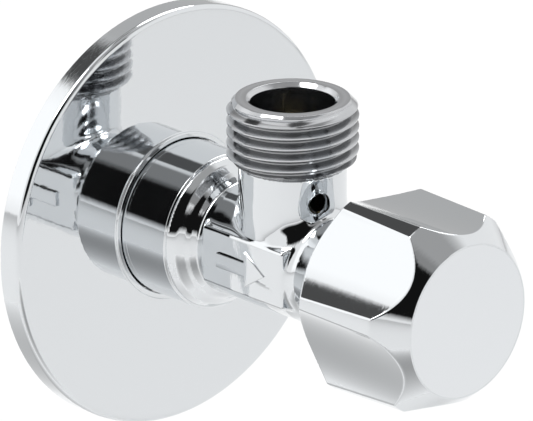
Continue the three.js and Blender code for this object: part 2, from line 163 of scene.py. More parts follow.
# a closed outline turned about an axis through centre; radii at 0 close on the axis
def turnedMesh(corners, around=192, axis="Y", centre=(0, 0, 0), steps=5, closed=True):
    outline, outward = roundedOutline(corners, steps, closed)
    area = signedArea(outline)
    if area < 0:
        outward = -outward
    points, normals, faces = [], [], []
    angles = np.linspace(0, 2 * math.pi, around, endpoint=False)
    first = []
    for (r, y), (nr, ny) in zip(outline, outward):
        first.append(len(points))
        if r < 1e-6:
            points.append((0, y, 0))
            normals.append((0, math.copysign(1, ny), 0))
            continue
        for a in angles:
            points.append((r * math.cos(a), y, r * math.sin(a)))
            normals.append((nr * math.cos(a), ny, nr * math.sin(a)))
    rows = len(outline)
    for i in range(rows if closed else rows - 1):
        j = (i + 1) % rows
        single, nextSingle = outline[i][0] < 1e-6, outline[j][0] < 1e-6
        if single and nextSingle:
            continue
        for k in range(around):
            m = (k + 1) % around
            if single:
                face = (first[i], first[j] + k, first[j] + m)
            elif nextSingle:
                face = (first[i] + k, first[j], first[i] + m)
            else:
                face = (first[i] + k, first[j] + k, first[j] + m, first[i] + m)
            faces.append(face if area > 0 else face[::-1])
    points, normals = np.array(points, float), np.array(normals, float)
    if axis == "Z":
        points = np.stack([points[:, 0], -points[:, 2], points[:, 1]], 1)
        normals = np.stack([normals[:, 0], -normals[:, 2], normals[:, 1]], 1)
    return points + np.array(centre), normals, faces


def turnedPiece(name, corners, material, around=192, axis="Y", centre=(0, 0, 0), steps=5):
    points, normals, faces = turnedMesh(corners, around, axis, centre, steps)
    return makeObject(name, points, faces, normals, material)


def standsFor(piece, body, slot, *cadNodes):
    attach(piece, body)
    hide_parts(*cadNodes)
    return piece


# shader groups that several materials share; a colour as default makes a colour socket
def newGroup(name, inputs, outputs):
    group = bpy.data.node_groups.new(name, "ShaderNodeTree")
    for socketName, value in inputs.items():
        kind = "NodeSocketColor" if isinstance(value, tuple) else "NodeSocketFloat"
        group.interface.new_socket(name=socketName, in_out="INPUT", socket_type=kind).default_value = value
    for socketName in outputs:
        kind = "NodeSocketColor" if socketName == "Color" else "NodeSocketFloat"
        group.interface.new_socket(name=socketName, in_out="OUTPUT", socket_type=kind)
    return group, group.nodes.new("NodeGroupInput").outputs, group.nodes.new("NodeGroupOutput").inputs


def link(tree, source, target):
    tree.links.new(source, target)


# sets a socket to a number or colour, or links another socket to it
def feed(tree, socket, value):
    if isinstance(value, (int, float, tuple)):
        socket.default_value = value
    elif value is not None:
        link(tree, value, socket)


def objectPlace(tree):
    return tree.nodes.new("ShaderNodeTexCoord").outputs["Object"]


def addMath(tree, operation, a, b=None, c=None, clamp=False):
    node = tree.nodes.new("ShaderNodeMath")
    node.operation = operation
    node.use_clamp = clamp
    for socket, value in zip(node.inputs, (a, b, c)):
        feed(tree, socket, value)
    return node.outputs[0]


def addMix(tree, factor, first, second, blend="MIX"):
    node = tree.nodes.new("ShaderNodeMix")
    node.data_type = "RGBA"
    node.blend_type = blend
    # sockets 6 and 7 are the two colours
    sockets = node.inputs["Factor"], node.inputs[6], node.inputs[7]
    for socket, value in zip(sockets, (factor, first, second)):
        feed(tree, socket, value)
    return node.outputs[2]


def addNoise(tree, vector, scale, detail, roughness):
    node = tree.nodes.new("ShaderNodeTexNoise")
    for name, value in (("Vector", vector), ("Scale", scale), ("Detail", detail), ("Roughness", roughness)):
        feed(tree, node.inputs[name], value)
    return node.outputs["Fac"]


# fine polishing haze and hairlines: a roughness and a height
def buildPolishWear():
    group, given, made = newGroup(
        "polishWear", {"Base Roughness": 0.04, "Haze": 0.03, "Haze Scale": 90.0, "Hairline Scale": 900.0},
        ("Roughness", "Height"))
    place = objectPlace(group)
    haze = addNoise(group, place, given["Haze Scale"], 4.0, 0.6)
    stretch = group.nodes.new("ShaderNodeMapping")
    stretch.inputs["Scale"].default_value = (1.0, 6.0, 1.0)
    link(group, place, stretch.inputs["Vector"])
    hairs = addNoise(group, stretch.outputs[0], given["Hairline Scale"], 2.0, 0.5)
    smudge = addMath(group, "SUBTRACT", haze, 0.45, clamp=True)
    spread = addMath(group, "MULTIPLY", smudge, given["Haze"])
    link(group, addMath(group, "ADD", given["Base Roughness"], spread), made["Roughness"])
    link(group, hairs, made["Height"])
    return group


# the slow unevenness that polishing leaves on a forged skin
def buildForgeRipple():
    group, given, made = newGroup(
        "forgeRipple", {"Broad Scale": 260.0, "Fine Scale": 900.0, "Fine Share": 0.25}, ("Height",))
    place = objectPlace(group)
    broad = addNoise(group, place, given["Broad Scale"], 1.0, 0.4)
    fine = addNoise(group, place, given["Fine Scale"], 2.0, 0.5)
    part = addMath(group, "MULTIPLY", fine, given["Fine Share"])
    link(group, addMath(group, "ADD", broad, part), made["Height"])
    return group


# fine rings round an axis, as a turning tool leaves, with a tone that varies from ring to ring
def buildLatheMarks():
    group, given, made = newGroup(
        "latheMarks", {"Along": 0.0, "Radial": 0.0, "Rings Per Metre": 9000.0}, ("Height", "Tone"))
    both = addMath(group, "ADD", given["Along"], given["Radial"])
    phase = addMath(group, "MULTIPLY", both, given["Rings Per Metre"])
    join = group.nodes.new("ShaderNodeCombineXYZ")
    link(group, phase, join.inputs[0])
    rings = addNoise(group, join.outputs[0], 1.0, 2.0, 0.7)
    slow = group.nodes.new("ShaderNodeCombineXYZ")
    link(group, addMath(group, "MULTIPLY", phase, 0.13), slow.inputs[0])
    tone = addNoise(group, slow.outputs[0], 1.0, 1.0, 0.5)
    link(group, rings, made["Height"])
    link(group, tone, made["Tone"])
    return group


# a sparse settled dust mask, strongest on faces that look up
def buildDust():
    group, given, made = newGroup("settledDust", {"Amount": 0.1, "Speck Scale": 1600.0}, ("Mask",))
    facing = group.nodes.new("ShaderNodeSeparateXYZ")
    link(group, group.nodes.new("ShaderNodeNewGeometry").outputs["Normal"], facing.inputs[0])
    up = addMath(group, "MULTIPLY", facing.outputs[2], 1.0, clamp=True)
    grain = addNoise(group, objectPlace(group), given["Speck Scale"], 1.0, 0.5)
    specks = addMath(group, "GREATER_THAN", grain, 0.74)
    share = addMath(group, "MULTIPLY", specks, addMath(group, "MULTIPLY", up, given["Amount"]))
    link(group, share, made["Mask"])
    return group


# uneven tone for rubber, fibre, plastic and bare brass
def buildMottle():
    group, given, made = newGroup(
        "mottle", {"Light": (1, 1, 1, 1), "Dark": (0.5, 0.5, 0.5, 1), "Scale": 400.0, "Contrast": 1.4},
        ("Color", "Height"))
    grain = addNoise(group, objectPlace(group), given["Scale"], 5.0, 0.6)
    centred = addMath(group, "SUBTRACT", grain, 0.5)
    share = addMath(group, "MULTIPLY_ADD", centred, given["Contrast"], 0.5, clamp=True)
    link(group, addMix(group, share, given["Dark"], given["Light"]), made["Color"])
    link(group, grain, made["Height"])
    return group


polishWear = buildPolishWear()
forgeRipple = buildForgeRipple()
latheMarks = buildLatheMarks()
settledDust = buildDust()
mottle = buildMottle()


# materials
def startMaterial(name):
    material = bpy.data.materials.new(name)
    material.use_nodes = True
    tree = material.node_tree
    shader = next(n for n in tree.nodes if n.type == "BSDF_PRINCIPLED")
    return material, tree, shader


def placeGroup(tree, group, **values):
    node = tree.nodes.new("ShaderNodeGroup")
    node.node_tree = group
    for name, value in values.items():
        feed(tree, node.inputs[name.replace("_", " ")], value)
    return node


# heights: (socket, share) pairs that are added up
def addBump(tree, shader, heights, distance, strength):
    total = None
    for socket, share in heights:
        part = addMath(tree, "MULTIPLY", socket, share)
        total = part if total is None else addMath(tree, "ADD", total, part)
    bump = tree.nodes.new("ShaderNodeBump")
    bump.inputs["Distance"].default_value = distance
    bump.inputs["Strength"].default_value = strength
    link(tree, total, bump.inputs["Height"])
    link(tree, bump.outputs["Normal"], shader.inputs["Normal"])


chromeLook = {
    "tint": (0.735, 0.755, 0.772, 1), "dust": (0.72, 0.72, 0.71, 1), "roughness": 0.035, "haze": 0.12,
}


def chromeMaterial(name, ripple=0.0, haze=chromeLook["haze"], roughness=chromeLook["roughness"],
                   tint=chromeLook["tint"]):
    material, tree, shader = startMaterial(name)
    shader.inputs["Metallic"].default_value = 1.0
    wear = placeGroup(tree, polishWear, Base_Roughness=roughness, Haze=haze)
    link(tree, wear.outputs["Roughness"], shader.inputs["Roughness"])
    dust = placeGroup(tree, settledDust, Amount=0.05)
    link(tree, addMix(tree, dust.outputs["Mask"], tint, chromeLook["dust"]), shader.inputs["Base Color"])
    heights = [(wear.outputs["Height"], 0.004)]
    if ripple:
        waves = placeGroup(tree, forgeRipple)
        heights.append((waves.outputs["Height"], ripple))
    addBump(tree, shader, heights, 0.001, 1.0)
    return material


# distance along an axis and distance from it, in metres, from Object coordinates
def axisPlace(tree, axis, centre):
    shift = tree.nodes.new("ShaderNodeMapping")
    shift.inputs["Location"].default_value = [-v * mm for v in centre]
    link(tree, objectPlace(tree), shift.inputs["Vector"])
    parts = tree.nodes.new("ShaderNodeSeparateXYZ")
    link(tree, shift.outputs[0], parts.inputs[0])
    lengthwise = {"X": 0, "Y": 1, "Z": 2}[axis]
    across = [i for i in range(3) if i != lengthwise]
    squares = [addMath(tree, "MULTIPLY", parts.outputs[i], parts.outputs[i]) for i in across]
    radial = addMath(tree, "SQRT", addMath(tree, "ADD", *squares))
    return parts.outputs[lengthwise], radial


# the groove numbers: root and crest radius, bore, end height and tone, for the painted shade that darkens the
# roots of a thread
def turnedMetal(name, tint, darkTint, axis="Y", centre=(0, 0, 0), roughness=0.22, marks=0.004, rings=9000.0,
                brushed=0.7, grooveShade=None):
    material, tree, shader = startMaterial(name)
    shader.inputs["Metallic"].default_value = 1.0
    along, radial = axisPlace(tree, axis, centre)
    rippled = placeGroup(tree, latheMarks, Along=along, Radial=radial, Rings_Per_Metre=rings)
    colour = addMix(tree, rippled.outputs["Tone"], darkTint, tint)
    if grooveShade:
        depth = grooveShade["crest"] - grooveShade["root"]
        rise = addMath(tree, "SUBTRACT", radial, grooveShade["root"] * mm)
        unshaded = addMath(tree, "MULTIPLY", rise, 1 / (depth * mm), clamp=True)
        unshaded = addMath(tree, "MAXIMUM", unshaded, addMath(tree, "GREATER_THAN", along, grooveShade["end"] * mm))
        unshaded = addMath(tree, "MAXIMUM", unshaded, addMath(tree, "LESS_THAN", radial, grooveShade["bore"] * mm))
        # painted shade: the thread is darkened from its crest down to its root, but not past its end or
        # inside the bore
        rootShade = (grooveShade["tone"], grooveShade["tone"], grooveShade["tone"], 1)
        colour = addMix(tree, 1.0, colour, addMix(tree, unshaded, rootShade, (1, 1, 1, 1)), "MULTIPLY")
    link(tree, colour, shader.inputs["Base Color"])
    spread = addMath(tree, "MULTIPLY_ADD", rippled.outputs["Tone"], 0.16, roughness - 0.08)
    link(tree, spread, shader.inputs["Roughness"])
    addBump(tree, shader, [(rippled.outputs["Height"], marks)], 0.001, 1.0)
    # the turning marks run round the axis and spread the shine across themselves
    shift = tree.nodes.new("ShaderNodeVectorMath")
    shift.operation = "SUBTRACT"
    link(tree, objectPlace(tree), shift.inputs[0])
    shift.inputs[1].default_value = [v * mm for v in centre]
    around = tree.nodes.new("ShaderNodeVectorMath")
    around.operation = "CROSS_PRODUCT"
    around.inputs[0].default_value = {"X": (1, 0, 0), "Y": (0, 1, 0), "Z": (0, 0, 1)}[axis]
    link(tree, shift.outputs[0], around.inputs[1])
    link(tree, around.outputs[0], shader.inputs["Tangent"])
    shader.inputs["Anisotropic"].default_value = brushed
    shader.inputs["Anisotropic Rotation"].default_value = 0.25
    return material


def softMaterial(name, light, dark, roughness, scale=500.0, grain=0.03):
    material, tree, shader = startMaterial(name)
    tone = placeGroup(tree, mottle, Light=light, Dark=dark, Scale=scale)
    dust = placeGroup(tree, settledDust, Amount=0.25)
    dusty = addMix(tree, dust.outputs["Mask"], tone.outputs["Color"], (0.6, 0.59, 0.56, 1))
    link(tree, dusty, shader.inputs["Base Color"])
    spread = addMath(tree, "MULTIPLY_ADD", tone.outputs["Height"], 0.2, roughness - 0.1)
    link(tree, spread, shader.inputs["Roughness"])
    addBump(tree, shader, [(tone.outputs["Height"], grain)], 0.001, 1.0)
    return material


# painted shade for the roots of the outlet thread, with the tone they are darkened to
outletRootShade = {"root": 9.9, "crest": 10.44, "bore": 8, "end": 25.6, "tone": 0.5}
mirrorChrome = chromeMaterial("mirrorChrome")
forgedChrome = chromeMaterial("forgedChrome", ripple=0.02)
knobChrome = chromeMaterial("knobChrome", ripple=0.0)
outletSteel = turnedMetal(
    "machinedOutlet", (0.72, 0.73, 0.75, 1), (0.42, 0.43, 0.44, 1), axis="Z", centre=(0, outletY, 0),
    roughness=0.13, marks=0.003, brushed=0.6, rings=5200.0, grooveShade=outletRootShade)
inletSteel = turnedMetal("machinedInlet", (0.66, 0.67, 0.68, 1), (0.48, 0.49, 0.50, 1), roughness=0.26)
turnedBrass = turnedMetal("turnedBrass", (0.78, 0.62, 0.33, 1), (0.60, 0.44, 0.20, 1), roughness=0.28)
springSteel = turnedMetal("springSteel", (0.60, 0.61, 0.62, 1), (0.38, 0.39, 0.41, 1), roughness=0.32)
sealRubber = softMaterial("sealRubber", (0.035, 0.035, 0.037, 1), (0.015, 0.015, 0.016, 1), 0.62)
gasketFibre = softMaterial("gasketFibre", (0.52, 0.16, 0.10, 1), (0.36, 0.09, 0.06, 1), 0.8, 900.0, 0.06)
whitePlastic = softMaterial("whitePlastic", (0.86, 0.84, 0.79, 1), (0.76, 0.74, 0.69, 1), 0.42, 300.0, 0.01)
print("materials made")


# the forged body
forging = {
    "cell": 0.27, "stemRadius": 8.6, "stemTop": 15.8, "boreRadius": 6.85,
    "handleFillet": 4.4, "wallFillet": 1.8, "padProud": 0.1, "padHalfHeight": 4.7, "padDraft": 0.25,
    "padEdge": 0.45, "padTowardsWall": 11.1, "padTowardsHandle": 7.1, "ripple": 0.02, "rippleSeed": 7,
}
arrowLook = {
    "length": 11.0, "headLength": 4.6, "headHalf": 3.0, "shaftHalf": 1.2,
    "raise": 0.5, "root": 0.3, "edge": 0.14, "sharpAngle": 40,
}

tubeRadius = 9.1
portRadius = 7.3
collarFront = outletY + 16
ringFront = collarFront - 2.8
padFront = outletY - forging["padTowardsHandle"]
padWall = outletY + forging["padTowardsWall"]
seatAt = outletY + 6.5


# signed distance from points to a closed outline in the radius and height plane, negative inside
def outlineDistance(outline, r, y):
    best = np.full(r.shape, 1e9)
    inside = np.zeros(r.shape, bool)
    for (r0, y0), (r1, y1) in zip(outline, np.roll(outline, -1, 0)):
        dr, dy = r1 - r0, y1 - y0
        length = dr * dr + dy * dy
        if length < 1e-12:
            continue
        t = np.clip(((r - r0) * dr + (y - y0) * dy) / length, 0, 1)
        best = np.minimum(best, (r - r0 - t * dr) ** 2 + (y - y0 - t * dy) ** 2)
        if dy != 0:
            crosses = (y0 > y) != (y1 > y)
            inside ^= crosses & (r < dr * (y - y0) / dy + r0)
    return np.where(inside, -1, 1) * np.sqrt(best)


def blendUnion(a, b, k):
    h = np.maximum(k - np.abs(a - b), 0) / k
    return np.minimum(a, b) - h ** 3 * k / 6


bodyOutline = roundedOutline([
    (-4, collarFront + 0.25, 0.1), (12.5, collarFront + 0.25, 0.1), (12.45, collarFront - 0.1, 0.1),
    (11.7, collarFront - 1.3, 1.4), (10.62, ringFront + 0.55, 0.6), (10.1, ringFront - 0.1, 0.3),
    (tubeRadius + 0.12, ringFront - 0.8, 0.5), (tubeRadius, ringFront - 2, 2), (tubeRadius, padFront + 1, 2),
    (tubeRadius - 0.75, padFront - 1.5, 2.4), (tubeRadius, padFront - 6, 2),
    (tubeRadius, portEnd, 0.35), (-4, portEnd, 0.1)], 4)[0]
waterOutline = roundedOutline([
    (-4, collarFront + 2, 0.1), (5.05, collarFront + 2, 0.1), (5.05, seatAt, 0.15), (6, seatAt, 0.15),
    (6, seatAt + 0.8, 0.1), (portRadius - 0.3, seatAt + 0.8, 0.2), (portRadius, seatAt - 0.3, 0.2),
    (portRadius, portEnd - 2, 0.1), (-4, portEnd - 2, 0.1)], 3)[0]

rippleWaves = np.random.default_rng(forging["rippleSeed"])
waveDirections = rippleWaves.normal(size=(14, 3))
waveDirections /= np.linalg.norm(waveDirections, axis=1)[:, None]
waveLengths = rippleWaves.uniform(2.6, 9.0, 14)
wavePhases = rippleWaves.uniform(0, 2 * math.pi, 14)


def forgedDistance(p):
    x, y, z = p[:, 0], p[:, 1], p[:, 2]
    axial = np.hypot(x, z)
    body = outlineDistance(bodyOutline, axial, y)
    fromStem = np.hypot(x, y - outletY)
    stemWall = fromStem - forging["stemRadius"]
    stem = np.maximum(np.maximum(stemWall, z - forging["stemTop"]), -z)
    handleSide = np.clip((outletY - y + 3) / 7, 0, 1)
    handleSide = handleSide * handleSide * (3 - 2 * handleSide)
    fillet = forging["wallFillet"] + (forging["handleFillet"] - forging["wallFillet"]) * handleSide
    whole = blendUnion(body, stem, fillet)
    middle, half = (padWall + padFront) / 2, (padWall - padFront) / 2
    flat = tubeRadius + forging["padProud"]
    spread = forging["padDraft"] * np.maximum(flat - np.abs(x), 0)
    slant = 1 / math.hypot(1, forging["padDraft"])
    edge = forging["padEdge"]
    qx = np.abs(x) - flat + edge
    qy = (np.abs(y - middle) - half - spread) * slant + edge
    qz = (np.abs(z) - forging["padHalfHeight"] - spread) * slant + edge
    outside = np.sqrt(np.maximum(qx, 0) ** 2 + np.maximum(qy, 0) ** 2 + np.maximum(qz, 0) ** 2)
    padBlock = outside + np.minimum(np.maximum(qx, np.maximum(qy, qz)), 0) - edge
    whole = blendUnion(whole, padBlock, 0.7)
    swell = np.zeros(x.shape)
    for direction, length, phase in zip(waveDirections, waveLengths, wavePhases):
        swell += np.sin((p @ direction) * (2 * math.pi / length) + phase)
    calm = np.clip((forging["stemTop"] - 0.4 - z) / 9, 0, 1) * np.clip((y - portEnd) / 2, 0, 1)
    whole = whole + swell * forging["ripple"] / 2.6 * calm
    bore = np.maximum(fromStem - forging["boreRadius"], -z)
    whole = np.maximum(whole, -bore)
    return np.maximum(whole, -outlineDistance(waterOutline, axial, y))


def distanceInBatches(p, size=120000):
    return np.concatenate([forgedDistance(p[i:i + size]) for i in range(0, len(p), size)])


def slopeOf(p, step=0.02):
    slope = np.empty_like(p)
    for axis in range(3):
        shift = np.zeros(3)
        shift[axis] = step
        slope[:, axis] = distanceInBatches(p + shift) - distanceInBatches(p - shift)
    return slope / (2 * step)


# closed quad surface at distance 0, one vertex in each cell that the surface crosses
def surfaceNets(low, high, cell):
    axes = [np.arange(a, b + cell, cell) for a, b in zip(low, high)]
    shape = tuple(len(a) for a in axes)
    grid = np.stack(np.meshgrid(*axes, indexing="ij"), -1).reshape(-1, 3)
    value = distanceInBatches(grid).reshape(shape)
    negative = value < 0
    cells = tuple(n - 1 for n in shape)
    total, count = np.zeros(cells + (3,)), np.zeros(cells)
    corner = [(i, j, k) for i in (0, 1) for j in (0, 1) for k in (0, 1)]

    def part(array, at):
        return array[at[0]:at[0] + cells[0], at[1]:at[1] + cells[1], at[2]:at[2] + cells[2]]

    for a in corner:
        for axis in range(3):
            if a[axis]:
                continue
            b = tuple(v + (i == axis) for i, v in enumerate(a))
            va, vb = part(value, a), part(value, b)
            cut = part(negative, a) != part(negative, b)
            t = np.where(cut, va / np.where(cut, va - vb, 1), 0)
            spot = np.zeros(cells + (3,))
            spot[...] = a
            spot[..., axis] += t
            total += spot * cut[..., None]
            count += cut
    used = count > 0
    index = np.full(cells, -1, int)
    index[used] = np.arange(used.sum())
    where = np.argwhere(used)
    points = (where + total[used] / count[used][:, None]) * cell + np.array([a[0] for a in axes])
    faces = []
    for axis in range(3):
        u, v = (axis + 1) % 3, (axis + 2) % 3
        first = [slice(None)] * 3
        second = [slice(None)] * 3
        first[axis], second[axis] = slice(0, -1), slice(1, None)
        change = negative[tuple(first)] != negative[tuple(second)]
        inward = negative[tuple(first)]
        spots = np.argwhere(change)
        within = (spots[:, u] > 0) & (spots[:, v] > 0) & (spots[:, u] < cells[u]) & (spots[:, v] < cells[v])
        spots = spots[within]
        turn = inward[tuple(spots.T)]
        ring = []
        for du, dv in ((0, 0), (1, 0), (1, 1), (0, 1)):
            at = spots.copy()
            at[:, u] -= 1 - du
            at[:, v] -= 1 - dv
            ring.append(index[tuple(at.T)])
        quads = np.stack(ring, 1)
        quads[~turn] = quads[~turn][:, ::-1]
        faces.append(quads)
    return points, np.vstack(faces)


def buildForging():
    low = (-13.2, portEnd - 0.6, -13.2)
    high = (13.2, collarFront + 0.8, forging["stemTop"] + 0.6)
    cell = forging["cell"] * 1
    points, faces = surfaceNets(low, high, cell)
    for _ in range(3):
        value = distanceInBatches(points)
        slope = slopeOf(points)
        move = value[:, None] * slope / np.maximum((slope ** 2).sum(1), 0.2)[:, None]
        length = np.linalg.norm(move, axis=1)
        move *= np.minimum(1, 0.6 * cell / np.maximum(length, 1e-9))[:, None]
        points = points - move
    normals = slopeOf(points, 0.05)
    normals /= np.maximum(np.linalg.norm(normals, axis=1), 1e-9)[:, None]
    piece = makeObject("valveForging", points, faces, normals, forgedChrome)
    print("forging:", len(points), "points,", len(faces), "quads")
    return piece


def buildArrow(side):
    half, neck = arrowLook["length"] / 2, arrowLook["length"] / 2 - arrowLook["headLength"]
    shaft, head = arrowLook["shaftHalf"], arrowLook["headHalf"]
    outline = [
        (-half, -shaft), (neck, -shaft), (neck, -head), (half, 0),
        (neck, head), (neck, shaft), (-half, shaft)]
    flat = tubeRadius + forging["padProud"]
    middle = (padWall + padFront) / 2
    shape = bmesh.new()
    root = side * (flat - arrowLook["root"])
    low = [shape.verts.new((root * mm, (middle - a) * mm, side * b * mm)) for a, b in outline]
    top = [shape.verts.new((side * (flat + arrowLook["raise"]) * mm, v.co.y, v.co.z)) for v in low]
    shape.faces.new(low[::-1])
    upper = shape.faces.new(top)
    for i in range(len(outline)):
        j = (i + 1) % len(outline)
        shape.faces.new((low[i], low[j], top[j], top[i]))
    bmesh.ops.recalc_face_normals(shape, faces=shape.faces)
    rim = [e for e in shape.edges if upper in e.link_faces]
    rim += [e for e in shape.edges if abs(e.verts[0].co.x - e.verts[1].co.x) > 1e-5]
    bmesh.ops.bevel(shape, geom=rim, offset=arrowLook["edge"] * mm, segments=3, affect="EDGES", profile=0.6)
    name = "flowArrowLeft" if side < 0 else "flowArrowRight"
    return pieceFromShape(shape, name, mirrorChrome, arrowLook["sharpAngle"])


valveForging = buildForging()
standsFor(valveForging, "fixed_body", "polished_chrome", "valve_body")
for side in (-1, 1):
    standsFor(buildArrow(side), "fixed_body", "polished_chrome")


# screw threads, made by Geometry Nodes
threadLook = {
    "crestRadius": 10.48, "depth": 1.16, "pitch": 1.814, "sharpHeight": 1.62, "round": 0.03, "sharpAngle": 38,
}


def buildThreadTree():
    tree = bpy.data.node_groups.new("screwThread", "GeometryNodeTree")
    face = tree.interface
    face.new_socket(name="Geometry", in_out="INPUT", socket_type="NodeSocketGeometry")
    wanted = [("Crest Radius", 0.01), ("Depth", 0.001), ("Pitch", 0.0018), ("Sharp Height", 0.0017),
              ("Round", 0.0002), ("From", 0.0), ("To", 0.01), ("Start Radius", 0.009), ("Start Slope", 1.0),
              ("End Radius", 0.009), ("End Slope", 1.0), ("Turns", 5.0)]
    for name, value in wanted:
        face.new_socket(name=name, in_out="INPUT", socket_type="NodeSocketFloat").default_value = value
    for name, value in (("Around", 192), ("Rows", 97)):
        face.new_socket(name=name, in_out="INPUT", socket_type="NodeSocketInt").default_value = value
    face.new_socket(name="Material", in_out="INPUT", socket_type="NodeSocketMaterial")
    face.new_socket(name="Geometry", in_out="OUTPUT", socket_type="NodeSocketGeometry")
    given = tree.nodes.new("NodeGroupInput").outputs
    made = tree.nodes.new("NodeGroupOutput").inputs
    grid = tree.nodes.new("GeometryNodeMeshGrid")
    grid.inputs["Size X"].default_value = 1.0
    grid.inputs["Size Y"].default_value = 1.0
    link(tree, given["Around"], grid.inputs["Vertices X"])
    link(tree, given["Rows"], grid.inputs["Vertices Y"])
    place = tree.nodes.new("ShaderNodeSeparateXYZ")
    link(tree, tree.nodes.new("GeometryNodeInputPosition").outputs[0], place.inputs[0])
    u = addMath(tree, "ADD", place.outputs[0], 0.5)
    v = addMath(tree, "ADD", place.outputs[1], 0.5)
    turn = addMath(tree, "MULTIPLY", v, given["Turns"])
    lift = addMath(tree, "SUBTRACT", addMath(tree, "ADD", turn, u), 1.0)
    free = addMath(tree, "MULTIPLY_ADD", lift, given["Pitch"], given["From"])
    height = addMath(tree, "MINIMUM", addMath(tree, "MAXIMUM", free, given["From"]), given["To"])
    phase = addMath(tree, "FRACT", addMath(tree, "ADD", turn, 0.0001))
    fold = addMath(tree, "ABSOLUTE", addMath(tree, "MULTIPLY_ADD", phase, 2.0, -1.0))
    peak = addMath(tree, "MULTIPLY", addMath(tree, "SUBTRACT", 0.5, fold), given["Sharp Height"])
    halfDepth = addMath(tree, "MULTIPLY", given["Depth"], 0.5)
    clipped = addMath(tree, "SMOOTH_MIN", peak, halfDepth, given["Round"])
    lowest = addMath(tree, "MULTIPLY", halfDepth, -1.0)
    wave = addMath(tree, "SMOOTH_MAX", clipped, lowest, given["Round"])
    middle = addMath(tree, "SUBTRACT", given["Crest Radius"], halfDepth)
    radius = addMath(tree, "ADD", middle, wave)
    fromStart = addMath(tree, "SUBTRACT", height, given["From"])
    fromEnd = addMath(tree, "SUBTRACT", given["To"], height)
    startCone = addMath(tree, "MULTIPLY_ADD", fromStart, given["Start Slope"], given["Start Radius"])
    endCone = addMath(tree, "MULTIPLY_ADD", fromEnd, given["End Slope"], given["End Radius"])
    radius = addMath(tree, "MINIMUM", addMath(tree, "MINIMUM", radius, startCone), endCone)
    angle = addMath(tree, "MULTIPLY", u, 2 * math.pi)
    join = tree.nodes.new("ShaderNodeCombineXYZ")
    link(tree, addMath(tree, "MULTIPLY", radius, addMath(tree, "COSINE", angle)), join.inputs[0])
    link(tree, addMath(tree, "MULTIPLY", radius, addMath(tree, "SINE", angle)), join.inputs[1])
    link(tree, height, join.inputs[2])
    put = tree.nodes.new("GeometryNodeSetPosition")
    link(tree, grid.outputs["Mesh"], put.inputs["Geometry"])
    link(tree, join.outputs[0], put.inputs["Position"])
    weld = tree.nodes.new("GeometryNodeMergeByDistance")
    weld.inputs["Distance"].default_value = 2e-6
    link(tree, put.outputs["Geometry"], weld.inputs["Geometry"])
    real = tree.nodes.new("GeometryNodeRealizeInstances")
    link(tree, weld.outputs["Geometry"], real.inputs["Geometry"])
    paint = tree.nodes.new("GeometryNodeSetMaterial")
    link(tree, real.outputs["Geometry"], paint.inputs["Geometry"])
    link(tree, given["Material"], paint.inputs["Material"])
    link(tree, paint.outputs["Geometry"], made["Geometry"])
    return tree


threadTree = buildThreadTree()


# the outer skin of a thread along Z, in millimetres, as points and faces
def threadSleeve(material, around, rowsPerTurn=16, **values):
    turns = math.ceil((values["To"] - values["From"]) / threadLook["pitch"]) + 1
    host = addObject("threadBlank", bpy.data.meshes.new("threadBlank"))
    modifier = host.modifiers.new("screwThread", "NODES")
    modifier.node_group = threadTree
    numbers = {
        "Crest Radius": threadLook["crestRadius"] * mm, "Depth": threadLook["depth"] * mm,
        "Pitch": threadLook["pitch"] * mm, "Sharp Height": threadLook["sharpHeight"] * mm,
        "Round": threadLook["round"] * mm, "Turns": float(turns),
        "Around": around + 1, "Rows": turns * rowsPerTurn + 1, "Material": material,
    }
    for name, value in values.items():
        name = name.replace("_", " ")
        numbers[name] = value if name.endswith("Slope") else value * mm
    for item in threadTree.interface.items_tree:
        if item.item_type == "SOCKET" and item.in_out == "INPUT" and item.name in numbers:
            modifier[item.identifier] = numbers[item.name]
    graph = bpy.context.evaluated_depsgraph_get()
    made = bpy.data.meshes.new_from_object(host.evaluated_get(graph))
    points = np.array([v.co for v in made.vertices]) / mm
    faces = [tuple(f.vertices) for f in made.polygons]
    bpy.data.objects.remove(host)
    bpy.data.meshes.remove(made)
    return points, faces


# joins point and face lists into one closed mesh with its faces outward
def weldedPiece(name, parts, material):
    shape = bmesh.new()
    for points, faces in parts:
        verts = [shape.verts.new(p * mm) for p in points]
        for face in faces:
            corners = [verts[i] for i in face]
            if len(set(corners)) > 2:
                shape.faces.new(corners)
    bmesh.ops.remove_doubles(shape, verts=shape.verts, dist=4e-6)
    bmesh.ops.recalc_face_normals(shape, faces=shape.faces)
    openEdges = sum(1 for e in shape.edges if len(e.link_faces) != 2)
    piece = pieceFromShape(shape, name, material, threadLook["sharpAngle"])
    print(name, len(piece.data.polygons), "faces,", openEdges, "open edges")
    return piece


# a threaded end along Z: the sleeve, and the ring that closes it
def threadedEnd(name, material, around, closing, **sleeve):
    thread = threadSleeve(material, around, **sleeve)
    points, _, faces = turnedMesh(closing[::-1], around, "Z", steps=4, closed=False)
    return weldedPiece(name, [thread, (points, faces)], material)


outletLook = {
    "threadFoot": 16.0, "footRadius": 8.75, "endRadius": 9.15, "endChamfer": 1.33, "boreRadius": 6.73,
    "mouthChamfer": 0.67, "around": 192,
}


def buildOutlet():
    look = outletLook
    foot, top = look["threadFoot"], outletTop
    slope = (threadLook["crestRadius"] - look["endRadius"]) / look["endChamfer"]
    bore, mouth = look["boreRadius"], look["mouthChamfer"]
    closing = [
        (look["endRadius"] + 0.02, top - 0.08, 0), (look["endRadius"] - 0.06, top, 0.06),
        (bore + mouth, top, 0.08), (bore, top - mouth, 0.15), (bore, foot - 1.4, 0.1),
        (8.45, foot - 1.4, 0.1), (8.5, foot - 0.35, 0.1), (look["footRadius"], foot, 0)]
    piece = threadedEnd(
        "outletThread", outletSteel, look["around"], closing, From=foot, To=top - 0.08,
        Start_Radius=look["footRadius"], Start_Slope=1.5, End_Radius=look["endRadius"] + 0.02,
        End_Slope=slope)
    piece.data.transform(Matrix.Translation((0, outletY * mm, 0)))
    return standsFor(piece, "fixed_body", "polished_chrome")


buildOutlet()
print("outlet done")


